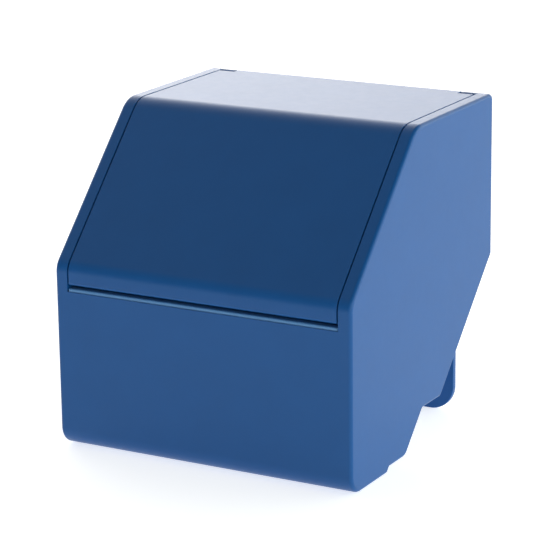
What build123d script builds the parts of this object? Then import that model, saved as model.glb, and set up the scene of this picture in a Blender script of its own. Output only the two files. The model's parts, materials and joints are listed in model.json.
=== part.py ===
from build123d import *
import os
from math import sin, cos, atan2, degrees, radians, sqrt

# Direct injection box: a near-cubic desk box with a wrap-over hinged lid, an
# undercut belly and a rear plate that carries the connectors and stands on
# the table as the rear leg.  Millimetres, +Z up, +Y towards the connectors.
# The origin is the middle of the footprint at table level.

os.makedirs("parts", exist_ok=True)

# ------------------------------------------------------------------
# driving dimensions
# ------------------------------------------------------------------
width = 100.0            # across the cheeks
depth = 95.8             # front face to the rear edges of the cheeks
height = 101.0           # table to lid
front = -depth / 2       # Y of the front face

cheek_t = 4.25           # side cheeks and front wall
wall = 4.25
sheet = 3.0              # floor and belly panel
seam = 0.5               # gap between the lid and each cheek
in_half = width / 2 - cheek_t          # inner face of a cheek
lid_half = in_half - seam              # half width of the lid

base_z = 0.3             # underside of the casting, above the rubber pads
bend_z = 57.6            # where the front turns into the slope
top_y = 42.1             # where the slope turns into the top
ledge_top = 49.6         # top of the front wall
lip_z = 51.6             # lower edge of the lid's front lip
bend_r = 6.0
crown_r = 9.0
toe_r = 6.0
edge_r = 1.2             # rounding along the outer edges of the cheeks

belly_k = 33.4           # belly plane: z = y - belly_k
wing_k = 45.9            # lower edge of the cheeks: z = y - wing_k
step_z = 13.4            # height of the step in the cheeks
arch_z = 1.8             # relief behind the front foot
foot_y = 23.0            # rear end of the front foot

plate_y = 84.0           # front face of the rear plate
plate_t = 2.0
plate_top = 89.3
leg_half = 42.5
shoulder_z = 44.0
conn_z = 69.5            # height of the connector row
jack_x = 27.0

lid_t = 2.5
hinge_y = 93.8           # hinge line along the rear edge of the lid
hinge_z = 99.0
barrel_r = 2.0
pin_r = 1.0
pin_bore_r = 1.05
pin_seat = 2.9           # depth of the pins in the cheeks
knuckle_x = 40.2         # inner ends of the fixed hinge knuckles
notch_x = 39.8           # rear corner notches of the lid, round the knuckles
notch_y = 91.4
rail_k = 3.9             # top of the gasket rails below the lid's outer skin
gasket_t = 1.1

deck_drop = 14.0         # control deck below the lid's outer slope
deck_t = 1.5
shelf_z = 88.0

# ------------------------------------------------------------------
# derived geometry
# ------------------------------------------------------------------
slope = atan2(height - bend_z, top_y)
sa, ca = sin(slope), cos(slope)


def side(x):
    """Plane whose local axes are distance from the front face and height."""
    return Plane(origin=(x, front, 0), x_dir=(0, 1, 0), z_dir=(1, 0, 0))


def facing(y):
    """Plane at distance y from the front face, local axes X and Z, normal to the front."""
    return Plane(origin=(0, front + y, 0), x_dir=(1, 0, 0), z_dir=(0, -1, 0))


def slope_z(k, y):
    """Height of the line k below the outer slope, at distance y."""
    return bend_z + (y * sa - k) / ca


def corners(sketch, y=None, z=None):
    """Corners of a profile at distance y from the front face and height z."""
    return [v for v in sketch.vertices()
            if (y is None or abs(v.X - y) < 0.02) and (z is None or abs(v.Y - z) < 0.02)]


def low_bend(k):
    return (k, slope_z(k, k))


def high_bend(k, z=None):
    z = height - k if z is None else z
    return ((k + ca * (z - bend_z)) / sa, z)


deck_y0 = wall + 0.3
deck_z0 = slope_z(deck_drop, deck_y0)


def on_deck(x, s, h=0.0, tilt=0.0):
    """Plane on the sloping deck: s up the slope, h out of it."""
    t = slope + radians(tilt)
    return Plane(
        origin=(x, front + deck_y0 + s * ca - h * sa, deck_z0 + s * sa + h * ca),
        x_dir=(1, 0, 0),
        z_dir=(0, -sin(t), cos(t)),
    )


def deck_point(x, s, h=0.0):
    return (x, front + deck_y0 + s * ca - h * sa, deck_z0 + s * sa + h * ca)


cheek_outline = [
    (0, base_z), (0, bend_z), (top_y, height), (depth, height),
    (depth, depth - wing_k), (step_z + wing_k, step_z), (step_z + belly_k, step_z),
    (arch_z + belly_k, arch_z), (foot_y + arch_z - base_z, arch_z), (foot_y, base_z),
]

plate_screws = [(-41.5, 58.0), (41.5, 58.0), (-41.5, 82.0), (41.5, 82.0)]
deck_screws_xs = [(-40.5, 10.0), (40.5, 10.0), (-40.5, 56.0), (40.5, 56.0)]
post_xs = [(-17.0, 18.0), (17.0, 18.0), (-17.0, 54.0), (17.0, 54.0)]
magnet_xs = [(-31.0, 15.0), (31.0, 15.0)]
knob_s = 30.0
toggle_s = 26.0
toggle_x = 28.0
small_s = 44.0           # button and lamp
cap_screws_x = 18.0
transformer_y = 18.7

written = []


def save(builder, label):
    builder.part.label = label
    export_step(builder.part, f"parts/{label}.step")
    written.append(label)


# ------------------------------------------------------------------
# housing: one casting with both cheeks, front wall, floor, belly and rear header
# ------------------------------------------------------------------
with BuildPart() as housing:
    for x0 in (-width / 2, in_half):
        with BuildSketch(side(x0)) as cheek:
            with BuildLine():
                Polyline(*cheek_outline, close=True)
            make_face()
            fillet(corners(cheek, 0, base_z), toe_r)
            fillet(corners(cheek, 0, bend_z), bend_r)
            fillet(corners(cheek, top_y, height), crown_r)
            fillet(corners(cheek, depth, height), 1.8)
            fillet(corners(cheek, depth, depth - wing_k), 1.4)
            fillet(corners(cheek, step_z + wing_k, step_z), 1.3)
            fillet(corners(cheek, step_z + belly_k, step_z), 1.3)
            fillet(corners(cheek, arch_z + belly_k, arch_z), 4.0)
            fillet(corners(cheek, foot_y, base_z), 1.3)
        extrude(amount=cheek_t)
    # front wall, floor and belly between the cheeks
    with BuildSketch(side(-in_half)) as tray:
        with BuildLine():
            Polyline(
                (0, base_z), (0, ledge_top), (wall, ledge_top), (wall, base_z + sheet),
                (base_z + sheet + belly_k - sheet * sqrt(2), base_z + sheet),
                (plate_y, plate_y - belly_k + sheet * sqrt(2)), (plate_y, plate_y - belly_k),
                (arch_z + belly_k, arch_z), (foot_y + arch_z - base_z, arch_z), (foot_y, base_z),
                close=True,
            )
        make_face()
        fillet(corners(tray, 0, base_z), toe_r)
        fillet(corners(tray, 0, ledge_top), 0.6)
        fillet(corners(tray, wall, base_z + sheet), 1.2)
        fillet(corners(tray, arch_z + belly_k, arch_z), 4.0)
        fillet(corners(tray, foot_y, base_z), 1.3)
    extrude(amount=2 * in_half)
    # upstand behind the ledge, which closes the view into the bay
    with BuildSketch(side(-42.5)):
        with BuildLine():
            Polyline((wall - 0.5, 45.0), (wall - 0.5, ledge_top - 0.5), (wall, ledge_top - 0.5),
                     (wall, 53.4), (wall + 1.4, 53.4), (wall + 1.4, 45.0), close=True)
        make_face()
    extrude(amount=85.0)
    # rear header: a lintel behind the lid with a shelf over the connectors
    with BuildSketch(side(-in_half)) as header:
        with BuildLine():
            Polyline(
                (plate_y + plate_t, 87.5), (depth, 87.5), (depth, 96.5), (93.6, 96.5),
                (93.6, 89.5), (plate_y + plate_t, 89.5), close=True,
            )
        make_face()
        fillet(corners(header, depth, 96.5), 0.8)
    extrude(amount=2 * in_half)
    # fixed hinge knuckles on the cheeks
    for s in (-1, 1):
        with BuildSketch(side(s * knuckle_x)):
            with Locations((hinge_y, hinge_z)):
                Circle(barrel_r)
        extrude(amount=s * (in_half - knuckle_x))
    # rails along the cheeks that carry the lid gaskets
    for x0 in (-in_half, 43.0):
        with BuildSketch(side(x0)) as rail:
            with BuildLine():
                Polyline(
                    (wall, slope_z(rail_k, wall)), high_bend(rail_k), (plate_y, height - rail_k),
                    (plate_y, height - rail_k - 2.5), high_bend(rail_k + 2.5),
                    (wall, slope_z(rail_k + 2.5, wall)), close=True,
                )
            make_face()
            fillet(corners(rail, *high_bend(rail_k)), crown_r - rail_k)
        extrude(amount=in_half - 43.0)
    # lugs for the rear plate
    for x, z in plate_screws:
        with BuildSketch(facing(plate_y)):
            with Locations(((x / abs(x)) * (in_half - 3.5), z)):
                Rectangle(7.0, 8.0)
        extrude(amount=8.0)
    # lugs under the control deck
    for x, s in deck_screws_xs:
        with BuildSketch(on_deck(0, s, -deck_t)):
            with Locations(((x / abs(x)) * (in_half - 3.5), 0)):
                Rectangle(7.0, 8.0)
        extrude(amount=-8.0)
    # hinge pin seats, through the knuckles and blind in the cheeks
    for s in (-1, 1):
        with BuildSketch(side(s * (knuckle_x - 0.5))):
            with Locations((hinge_y, hinge_z)):
                Circle(pin_r)
        extrude(amount=s * (in_half + pin_seat + 0.1 - knuckle_x + 0.5), mode=Mode.SUBTRACT)
    # pilot holes
    for x, z in plate_screws:
        with BuildSketch(facing(plate_y)):
            with Locations((x, z)):
                Circle(1.25)
        extrude(amount=7.0, mode=Mode.SUBTRACT)
    for x, s in deck_screws_xs:
        with BuildSketch(on_deck(x, s, -deck_t)):
            Circle(1.25)
        extrude(amount=-7.0, mode=Mode.SUBTRACT)
    with BuildSketch(Plane.XY.offset(base_z + sheet)):
        with Locations((-cap_screws_x, front + transformer_y), (cap_screws_x, front + transformer_y)):
            Circle(1.25)
    extrude(amount=-2.2, mode=Mode.SUBTRACT)
    # pockets for the rubber foot pads
    with BuildSketch(Plane.XY.offset(base_z)):
        with Locations((-31.0, front + 14.5), (31.0, front + 14.5)):
            RectangleRounded(24.2, 10.2, 2.1)
    extrude(amount=1.2, mode=Mode.SUBTRACT)
    # soft outer edges of both cheeks
    for face in (housing.faces().sort_by(Axis.X)[0], housing.faces().sort_by(Axis.X)[-1]):
        fillet(face.outer_wire().edges(), edge_r)
save(housing, "housing")

with BuildPart() as foot_pads:
    with BuildSketch(Plane.XY):
        with Locations((-31.0, front + 14.5), (31.0, front + 14.5)):
            RectangleRounded(24.0, 10.0, 2.0)
    extrude(amount=1.5)
save(foot_pads, "foot_pads")

# ------------------------------------------------------------------
# rear plate: connector panel above, standing leg below
# ------------------------------------------------------------------
with BuildPart() as back_plate:
    with BuildSketch(facing(plate_y + plate_t)) as plate:
        with BuildLine():
            Polyline(
                (-leg_half, 0), (leg_half, 0), (leg_half, shoulder_z), (45.5, shoulder_z + 3),
                (45.5, plate_top), (-45.5, plate_top), (-45.5, shoulder_z + 3),
                (-leg_half, shoulder_z), close=True,
            )
        make_face()
        fillet(corners(plate, z=0), 8.0)
        # cable window
        with Locations((0, 21.0)):
            RectangleRounded(48.0, 16.0, 5.0, mode=Mode.SUBTRACT)
        # connector cut-outs
        with Locations((0, conn_z)):
            Circle(12.0, mode=Mode.SUBTRACT)
        with Locations((-jack_x, conn_z), (jack_x, conn_z)):
            Circle(4.9, mode=Mode.SUBTRACT)
        with Locations(*plate_screws):
            Circle(1.65, mode=Mode.SUBTRACT)
        with Locations((-9.5, conn_z + 12.0), (9.5, conn_z - 12.0)):
            Circle(1.5, mode=Mode.SUBTRACT)
    extrude(amount=plate_t)
    rim = [e for e in back_plate.edges().filter_by(GeomType.LINE) if e.center().Z < 0.01
           and abs(e.center().X) < 1]
    fillet(rim, 0.5)
save(back_plate, "back_plate")

with BuildPart() as back_plate_screws:
    for x, z in plate_screws:
        with BuildSketch(facing(plate_y + plate_t)):
            with Locations((x, z)):
                Circle(2.75)
        extrude(amount=-1.7)
        with BuildSketch(facing(plate_y + plate_t)):
            with Locations((x, z)):
                Circle(1.25)
        extrude(amount=8.0)
    heads = [e for e in back_plate_screws.edges().filter_by(GeomType.CIRCLE)
             if abs(e.center().Y - (front + plate_y + plate_t + 1.7)) < 0.01]
    fillet(heads, 0.8)
    for x, z in plate_screws:
        with BuildSketch(facing(plate_y + plate_t + 1.7)):
            with Locations((x, z)):
                Rectangle(2.6, 0.6)
                Rectangle(0.6, 2.6)
        extrude(amount=1.0, mode=Mode.SUBTRACT)
save(back_plate_screws, "back_plate_screws")

# ------------------------------------------------------------------
# lid: lip, slope and top in one bent shell with a hinge barrel along its rear edge
# ------------------------------------------------------------------
with BuildPart() as lid:
    with BuildSketch(side(-lid_half)) as skin:
        with BuildLine():
            Polyline(
                (0, lip_z), (0, bend_z), (top_y, height), (hinge_y, height),
                (hinge_y, height - lid_t), high_bend(lid_t), low_bend(lid_t), (lid_t, lip_z),
                close=True,
            )
        make_face()
        fillet(corners(skin, 0, bend_z), bend_r)
        fillet(corners(skin, top_y, height), crown_r)
        fillet(corners(skin, *low_bend(lid_t)), bend_r - lid_t)
        fillet(corners(skin, *high_bend(lid_t)), crown_r - lid_t)
        fillet(corners(skin, 0, lip_z), 1.1)
        with Locations((hinge_y, hinge_z)):
            Circle(barrel_r)
    extrude(amount=2 * lid_half)
    # posts that carry the strike discs
    for x, s in magnet_xs:
        with BuildSketch(on_deck(x, s, 4.0)):
            Circle(3.6)
        extrude(amount=deck_drop - lid_t - 4.0 + 0.4)
    # rear corner notches round the fixed knuckles
    for s in (-1, 1):
        with BuildSketch(side(s * notch_x)):
            with Locations((notch_y + 2.5, hinge_z)):
                Rectangle(5.0, 6.0)
        extrude(amount=s * (lid_half - notch_x + 0.5), mode=Mode.SUBTRACT)
    # hinge pin bores
    for s in (-1, 1):
        with BuildSketch(side(s * 32.5)):
            with Locations((hinge_y, hinge_z)):
                Circle(pin_bore_r)
        extrude(amount=s * (notch_x - 32.5 + 0.5), mode=Mode.SUBTRACT)
save(lid, "lid")

with BuildPart() as lid_strikes:
    for x, s in magnet_xs:
        with BuildSketch(on_deck(x, s, 2.9)):
            Circle(3.6)
        extrude(amount=1.1)
save(lid_strikes, "lid_strikes")

for s, name in ((-1, "hinge_pin_left"), (1, "hinge_pin_right")):
    with BuildPart() as hinge_pin:
        with BuildSketch(side(s * 33.0)):
            with Locations((hinge_y, hinge_z)):
                Circle(pin_r)
        extrude(amount=s * (in_half + pin_seat - 33.0))
        chamfer(hinge_pin.edges().filter_by(GeomType.CIRCLE).sort_by(Axis.X)[-s * 1 if s < 0 else 0], 0.25)
    save(hinge_pin, name)

# gasket strips on the rails
for x0, name in ((-in_half + 0.35, "lid_gasket_left"), (in_half - 2.6, "lid_gasket_right")):
    with BuildPart() as gasket:
        with BuildSketch(side(x0)) as band:
            with BuildLine():
                Polyline(
                    (wall + 1.0, slope_z(rail_k - gasket_t, wall + 1.0)), high_bend(rail_k - gasket_t),
                    (plate_y - 2.0, height - rail_k + gasket_t), (plate_y - 2.0, height - rail_k),
                    high_bend(rail_k), (wall + 1.0, slope_z(rail_k, wall + 1.0)), close=True,
                )
            make_face()
            fillet(corners(band, *high_bend(rail_k - gasket_t)), crown_r - rail_k + gasket_t)
            fillet(corners(band, *high_bend(rail_k)), crown_r - rail_k)
        extrude(amount=2.25)
    save(gasket, name)

# pale seal strip on the ledge, under the lid's front lip
with BuildPart() as ledge_strip:
    with BuildSketch(side(-in_half + 0.3)) as strip:
        with BuildLine():
            Polyline((0.35, ledge_top), (0.35, ledge_top + 1.0), (4.0, ledge_top + 1.0), (4.0, ledge_top), close=True)
        make_face()
        fillet(corners(strip, 0.35, ledge_top + 1.0), 0.4)
    extrude(amount=2 * (in_half - 0.3))
save(ledge_strip, "ledge_strip")

# ------------------------------------------------------------------
# control deck under the lid
# ------------------------------------------------------------------
with BuildPart() as control_deck:
    with BuildSketch(side(-45.5)) as fold:
        with BuildLine():
            Polyline(
                (deck_y0, deck_z0), high_bend(deck_drop, shelf_z), (83.7, shelf_z),
                (83.7, shelf_z - deck_t), high_bend(deck_drop + deck_t, shelf_z - deck_t),
                (deck_y0, slope_z(deck_drop + deck_t, deck_y0)), close=True,
            )
        make_face()
        fillet(corners(fold, *high_bend(deck_drop, shelf_z)), 3.0)
        fillet(corners(fold, *high_bend(deck_drop + deck_t, shelf_z - deck_t)), 1.5)
    extrude(amount=91.0)
    holes = [(0, knob_s, 3.7), (-toggle_x, toggle_s, 3.2), (toggle_x, toggle_s, 3.2),
             (-toggle_x, small_s, 4.6), (toggle_x, small_s, 3.1)]
    holes += [(x, s, 1.65) for x, s in deck_screws_xs + post_xs]
    for x, s, r in holes:
        with BuildSketch(on_deck(x, s, 1.0)):
            Circle(r)
        extrude(amount=-4.0, mode=Mode.SUBTRACT)
save(control_deck, "control_deck")


def pan_screws(name, places, shank, head_r=2.6, head_h=1.5):
    """Pan-head cross-slot screws standing on the deck."""
    with BuildPart() as screws:
        for x, s in places:
            with BuildSketch(on_deck(x, s, 0)):
                Circle(head_r)
            extrude(amount=head_h)
            with BuildSketch(on_deck(x, s, 0)):
                Circle(1.25)
            extrude(amount=-shank)
        for x, s in places:
            with BuildSketch(on_deck(x, s, head_h)):
                Rectangle(2.6, 0.6)
                Rectangle(0.6, 2.6)
            extrude(amount=-0.9, mode=Mode.SUBTRACT)
    save(screws, name)


pan_screws("deck_screws", deck_screws_xs, 7.5)
pan_screws("board_post_screws", post_xs, 4.5)

with BuildPart() as catch_magnets:
    for x, s in magnet_xs:
        with BuildSketch(on_deck(x, s, 0)):
            Circle(4.0)
        extrude(amount=2.4)
save(catch_magnets, "catch_magnets")

# ------------------------------------------------------------------
# level control
# ------------------------------------------------------------------
with BuildPart() as level_pot:
    with BuildSketch(on_deck(0, knob_s, -deck_t)):
        Circle(8.5)
    extrude(amount=-9.0)
    with BuildSketch(on_deck(0, knob_s, -deck_t)):
        Circle(3.5)
    extrude(amount=6.0)
    with BuildSketch(on_deck(0, knob_s, -4.0)):
        Circle(3.05)
    extrude(amount=10.0, mode=Mode.SUBTRACT)
save(level_pot, "level_pot")

with BuildPart() as level_shaft:
    with BuildSketch(on_deck(0, knob_s, -3.6)):
        Circle(3.0)
    extrude(amount=12.4)
save(level_shaft, "level_shaft")


def hex_nut(name, plane, across, bore, thick):
    """Flat washer with a hexagon nut on it."""
    with BuildPart() as nut:
        with BuildSketch(plane):
            Circle(across * 0.62)
            Circle(bore, mode=Mode.SUBTRACT)
        extrude(amount=0.5)
        with BuildSketch(plane.offset(0.5)):
            RegularPolygon(radius=across / 2, side_count=6, major_radius=False)
            Circle(bore, mode=Mode.SUBTRACT)
        extrude(amount=thick)
    save(nut, name)


hex_nut("level_nut", on_deck(0, knob_s, 0), 10.0, 3.55, 2.0)

with BuildPart() as level_knob:
    with BuildSketch(on_deck(0, knob_s, 1.2)):
        Circle(10.4)
    extrude(amount=1.6)
    with BuildSketch(on_deck(0, knob_s, 2.8)) as grip:
        Circle(9.4)
        with PolarLocations(9.6, 24):
            Circle(0.55, mode=Mode.SUBTRACT)
    extrude(amount=7.6)
    with BuildSketch(on_deck(0, knob_s, 1.2)):
        Circle(7.2)
    extrude(amount=3.9, mode=Mode.SUBTRACT)
    with BuildSketch(on_deck(0, knob_s, 1.0)):
        Circle(3.0)
    extrude(amount=7.8, mode=Mode.SUBTRACT)
    top_ring = level_knob.edges().filter_by(GeomType.CIRCLE)
    with BuildSketch(on_deck(0, knob_s + 5.0, 10.4)):
        Rectangle(1.2, 6.4)
    extrude(amount=-0.6, mode=Mode.SUBTRACT)
save(level_knob, "level_knob")

with BuildPart() as knob_pointer:
    with BuildSketch(on_deck(0, knob_s + 5.0, 9.8)):
        Rectangle(1.2, 6.4)
    extrude(amount=0.55)
save(knob_pointer, "knob_pointer")


# ------------------------------------------------------------------
# toggle switches
# ------------------------------------------------------------------
toggle_pivot_h = 1.5
toggle_tilt = 12.0


def toggle(prefix, x, s):
    with BuildPart() as body:
        with BuildSketch(on_deck(x, s, -deck_t)):
            Rectangle(8.0, 13.0)
        extrude(amount=-9.5)
        with BuildSketch(on_deck(x, s, -deck_t)):
            Circle(3.0)
        extrude(amount=5.7)
        with BuildSketch(on_deck(x, s, 4.2)):
            Circle(2.3)
        extrude(amount=-9.0, mode=Mode.SUBTRACT)
        for k in (-1, 0, 1):
            with BuildSketch(on_deck(x, s + 4.0 * k, -deck_t - 9.5)):
                Rectangle(2.0, 0.9)
            extrude(amount=-2.6)
    save(body, prefix + "_switch")
    hex_nut(prefix + "_nut", on_deck(x, s, 0), 8.0, 3.05, 1.6)
    with BuildPart() as lever:
        with BuildSketch(Plane(origin=deck_point(x, s, toggle_pivot_h), x_dir=(1, 0, 0),
                               z_dir=on_deck(x, s, 0, toggle_tilt).x_dir.cross(
                                   on_deck(x, s, 0, toggle_tilt).z_dir))) as half:
            # lathe profile: local x is the radius, local y runs along the lever
            with BuildLine():
                Polyline((0, -4.4), (0.7, -4.4), (0.8, -1.3), (1.6, -0.9), (1.6, 0.9), (0.95, 1.4),
                         (0.95, 4.4), (1.45, 7.6), (1.3, 8.3), (0.7, 8.8), (0, 8.9), close=True)
            make_face()
        revolve(axis=Axis(deck_point(x, s, toggle_pivot_h),
                          tuple(on_deck(x, s, 0, toggle_tilt).z_dir)))
    save(lever, prefix + "_lever")


toggle("pad", -toggle_x, toggle_s)
toggle("ground_lift", toggle_x, toggle_s)

# ------------------------------------------------------------------
# polarity push button and power lamp
# ------------------------------------------------------------------
with BuildPart() as polarity_switch:
    with BuildSketch(on_deck(-toggle_x, small_s, -deck_t)):
        Rectangle(10.0, 10.0)
    extrude(amount=-9.0)
    with BuildSketch(on_deck(-toggle_x, small_s, -deck_t)):
        Circle(4.5)
    extrude(amount=3.0)
    with BuildSketch(on_deck(-toggle_x, small_s, 2.0)):
        Circle(3.75)
    extrude(amount=-9.0, mode=Mode.SUBTRACT)
save(polarity_switch, "polarity_switch")

with BuildPart() as polarity_button:
    with BuildSketch(on_deck(-toggle_x, small_s, -3.0)):
        Circle(3.4)
    extrude(amount=8.4)
    fillet(polarity_button.edges().sort_by(Axis((0, 0, 0), (0, -sa, ca)))[-1], 0.6)
save(polarity_button, "polarity_button")

with BuildPart() as lamp_bezel:
    with BuildSketch(on_deck(toggle_x, small_s, 0)):
        Circle(4.2)
    extrude(amount=1.0)
    with BuildSketch(on_deck(toggle_x, small_s, 0)):
        Circle(3.05)
    extrude(amount=-3.5)
    with BuildSketch(on_deck(toggle_x, small_s, 2.0)):
        Circle(2.55)
    extrude(amount=-7.0, mode=Mode.SUBTRACT)
save(lamp_bezel, "lamp_bezel")

with BuildPart() as lamp_lens:
    with BuildSketch(on_deck(toggle_x, small_s, -5.0)):
        Circle(2.5)
    extrude(amount=7.2)
    fillet(lamp_lens.edges().sort_by(Axis((0, 0, 0), (0, -sa, ca)))[-1], 1.8)
save(lamp_lens, "lamp_lens")

# ------------------------------------------------------------------
# balanced output connector on the rear plate
# ------------------------------------------------------------------
flange_y = plate_y + plate_t
with BuildPart() as xlr_shell:
    with BuildSketch(facing(flange_y)):
        with Locations((0, conn_z)):
            RectangleRounded(26.0, 31.0, 3.0)
        with Locations((-9.5, conn_z + 12.0), (9.5, conn_z - 12.0)):
            Circle(1.6, mode=Mode.SUBTRACT)
    extrude(amount=-2.2)
    with BuildSketch(facing(flange_y)):
        with Locations((0, conn_z)):
            Circle(11.7)
    extrude(amount=17.0)
    with BuildSketch(facing(flange_y + 2.2)):
        with Locations((0, conn_z)):
            Circle(9.6)
    extrude(amount=17.0, mode=Mode.SUBTRACT)
    with BuildSketch(facing(flange_y)):
        with Locations((0, conn_z)):
            Circle(6.0)
    extrude(amount=18.0, mode=Mode.SUBTRACT)
    outer = [e for e in xlr_shell.edges().filter_by(GeomType.LINE)
             if abs(e.center().Y - (front + flange_y + 2.2)) < 0.01]
save(xlr_shell, "xlr_shell")

pins = [(-3.8, 2.2), (3.8, 2.2), (0, -4.3)]
with BuildPart() as xlr_insert:
    with BuildSketch(facing(flange_y - 11.8)):
        with Locations((0, conn_z)):
            Circle(9.5)
    extrude(amount=2.9)
    with BuildSketch(facing(flange_y - 14.7)):
        with Locations((0, conn_z)):
            Circle(5.9)
    extrude(amount=3.0)
    with BuildSketch(facing(flange_y)):
        with Locations(*[(x, conn_z + z) for x, z in pins]):
            Circle(1.2)
    extrude(amount=20.0, mode=Mode.SUBTRACT)
save(xlr_insert, "xlr_insert")

with BuildPart() as xlr_pins:
    for x, z in pins:
        with BuildSketch(facing(flange_y - 0.4)):
            with Locations((x, conn_z + z)):
                Circle(1.2)
        extrude(amount=20.0)
    tips = [e for e in xlr_pins.edges().filter_by(GeomType.CIRCLE)
            if abs(e.center().Y - (front + flange_y - 0.4)) < 0.01]
    fillet(tips, 0.7)
save(xlr_pins, "xlr_pins")

with BuildPart() as xlr_screws:
    for x, z in ((-9.5, 12.0), (9.5, -12.0)):
        with BuildSketch(facing(flange_y + 2.2)):
            with Locations((x, conn_z + z)):
                Circle(2.6)
        extrude(amount=-1.3)
        with BuildSketch(facing(flange_y + 2.2)):
            with Locations((x, conn_z + z)):
                Circle(1.45)
        extrude(amount=6.5)
        with BuildSketch(facing(flange_y + 3.5)):
            with Locations((x, conn_z + z)):
                Rectangle(2.4, 0.55)
                Rectangle(0.55, 2.4)
        extrude(amount=0.8, mode=Mode.SUBTRACT)
save(xlr_screws, "xlr_screws")


# ------------------------------------------------------------------
# quarter-inch jacks
# ------------------------------------------------------------------
def jack(prefix, x):
    with BuildPart() as body:
        with BuildSketch(facing(plate_y)):
            with Locations((x, conn_z)):
                RectangleRounded(15.0, 16.0, 1.0)
        extrude(amount=24.0)
        with BuildSketch(facing(plate_y + 6.4)):
            with Locations((x, conn_z)):
                Circle(4.7)
        extrude(amount=6.5)
        with BuildSketch(facing(plate_y + 6.4)):
            with Locations((x, conn_z)):
                Circle(3.3)
        extrude(amount=28.4, mode=Mode.SUBTRACT)
    save(body, prefix + "_jack")
    hex_nut(prefix + "_jack_nut", Plane(origin=(x, front + plate_y + plate_t, conn_z),
                                        x_dir=(1, 0, 0), z_dir=(0, 1, 0)), 12.7, 4.75, 2.2)


jack("input", -jack_x)
jack("thru", jack_x)

with BuildPart() as jack_contacts:
    for x in (-jack_x, jack_x):
        for dx, dz in ((-4.5, 0), (4.5, 0), (0, 5.5)):
            with BuildSketch(facing(plate_y - 24.0)):
                with Locations((x + dx, conn_z + dz)):
                    Rectangle(0.6, 2.4)
            extrude(amount=3.2)
save(jack_contacts, "jack_contacts")

# ------------------------------------------------------------------
# transformer on the floor
# ------------------------------------------------------------------
fz = base_z + sheet
with BuildPart() as transformer_mount:
    with BuildSketch(Plane.XY.offset(fz)):
        with Locations((0, front + transformer_y)):
            RectangleRounded(46.0, 12.0, 3.0)
            Circle(13.0)
        with Locations((-cap_screws_x, front + transformer_y), (cap_screws_x, front + transformer_y)):
            Circle(1.65, mode=Mode.SUBTRACT)
    extrude(amount=1.2)
save(transformer_mount, "transformer_mount")

with BuildPart() as transformer_can:
    with BuildSketch(Plane.XY.offset(fz + 1.2)):
        with Locations((0, front + transformer_y)):
            Circle(12.9)
    extrude(amount=29.0)
    with BuildSketch(Plane.XY.offset(fz + 1.2)):
        with Locations((0, front + transformer_y)):
            Circle(12.1)
    extrude(amount=28.2, mode=Mode.SUBTRACT)
    with BuildSketch(Plane.XY.offset(fz + 25.0)):
        with Locations((0, front + transformer_y)):
            Circle(3.0)
    extrude(amount=8.0, mode=Mode.SUBTRACT)
    fillet(transformer_can.edges().filter_by(GeomType.CIRCLE).group_by(Axis.Z)[-1].sort_by(SortBy.RADIUS)[-1], 1.2)
save(transformer_can, "transformer_can")

with BuildPart() as transformer_core:
    for z0, t, r in ((fz + 1.2, 3.0, 11.4), (fz + 4.0, 18.2, 3.4), (fz + 22.0, 3.0, 11.4)):
        with BuildSketch(Plane.XY.offset(z0)):
            with Locations((0, front + transformer_y)):
                Circle(r)
        extrude(amount=t)
save(transformer_core, "transformer_core")

with BuildPart() as transformer_winding:
    with BuildSketch(Plane.XY.offset(fz + 4.5)):
        with Locations((0, front + transformer_y)):
            Circle(10.4)
            Circle(3.7, mode=Mode.SUBTRACT)
    extrude(amount=17.2)
save(transformer_winding, "transformer_winding")

with BuildPart() as transformer_screws:
    for x in (-cap_screws_x, cap_screws_x):
        with BuildSketch(Plane.XY.offset(fz + 1.2)):
            with Locations((x, front + transformer_y)):
                Circle(2.6)
        extrude(amount=1.6)
        with BuildSketch(Plane.XY.offset(fz + 1.2)):
            with Locations((x, front + transformer_y)):
                Circle(1.25)
        extrude(amount=-3.2)
        with BuildSketch(Plane.XY.offset(fz + 2.8)):
            with Locations((x, front + transformer_y)):
                Rectangle(2.6, 0.6)
                Rectangle(0.6, 2.6)
        extrude(amount=-0.9, mode=Mode.SUBTRACT)
save(transformer_screws, "transformer_screws")

# ------------------------------------------------------------------
# circuit board hung under the deck
# ------------------------------------------------------------------
board_h = -13.8
board_t = 1.6
with BuildPart() as board_posts:
    for x, s in post_xs:
        with BuildSketch(on_deck(x, s, -deck_t)):
            RegularPolygon(radius=2.5, side_count=6)
            Circle(1.25, mode=Mode.SUBTRACT)
        extrude(amount=board_h + deck_t)
save(board_posts, "board_posts")

with BuildPart() as circuit_board:
    with BuildSketch(on_deck(0, 36.0, board_h)):
        RectangleRounded(66.0, 44.0, 1.5)
        with Locations(*[(x, s - 36.0) for x, s in post_xs]):
            Circle(1.6, mode=Mode.SUBTRACT)
    extrude(amount=-board_t)
save(circuit_board, "circuit_board")

under = board_h - board_t
with BuildPart() as board_screws:
    for x, s in post_xs:
        with BuildSketch(on_deck(x, s, under)):
            Circle(2.6)
        extrude(amount=-1.5)
        with BuildSketch(on_deck(x, s, under)):
            Circle(1.25)
        extrude(amount=5.0)
save(board_screws, "board_screws")

with BuildPart() as capacitors:
    for x, s, r, h in ((-6.0, 24.0, 4.0, 9.0), (6.0, 24.0, 4.0, 9.0), (-24.0, 30.0, 2.5, 6.0), (24.0, 30.0, 2.5, 6.0)):
        with BuildSketch(on_deck(x, s, under)):
            Circle(r)
        extrude(amount=-h)
save(capacitors, "capacitors")

with BuildPart() as resistors:
    for x, s in ((-9.0, 36.0), (-9.0, 39.5), (-9.0, 43.0), (9.0, 36.0), (9.0, 39.5), (9.0, 43.0)):
        with BuildSketch(Plane(origin=deck_point(x - 3.2, s, under - 1.25),
                               x_dir=(0, ca, sa), z_dir=(1, 0, 0))):
            Circle(1.2)
        extrude(amount=6.4)
save(resistors, "resistors")

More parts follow.
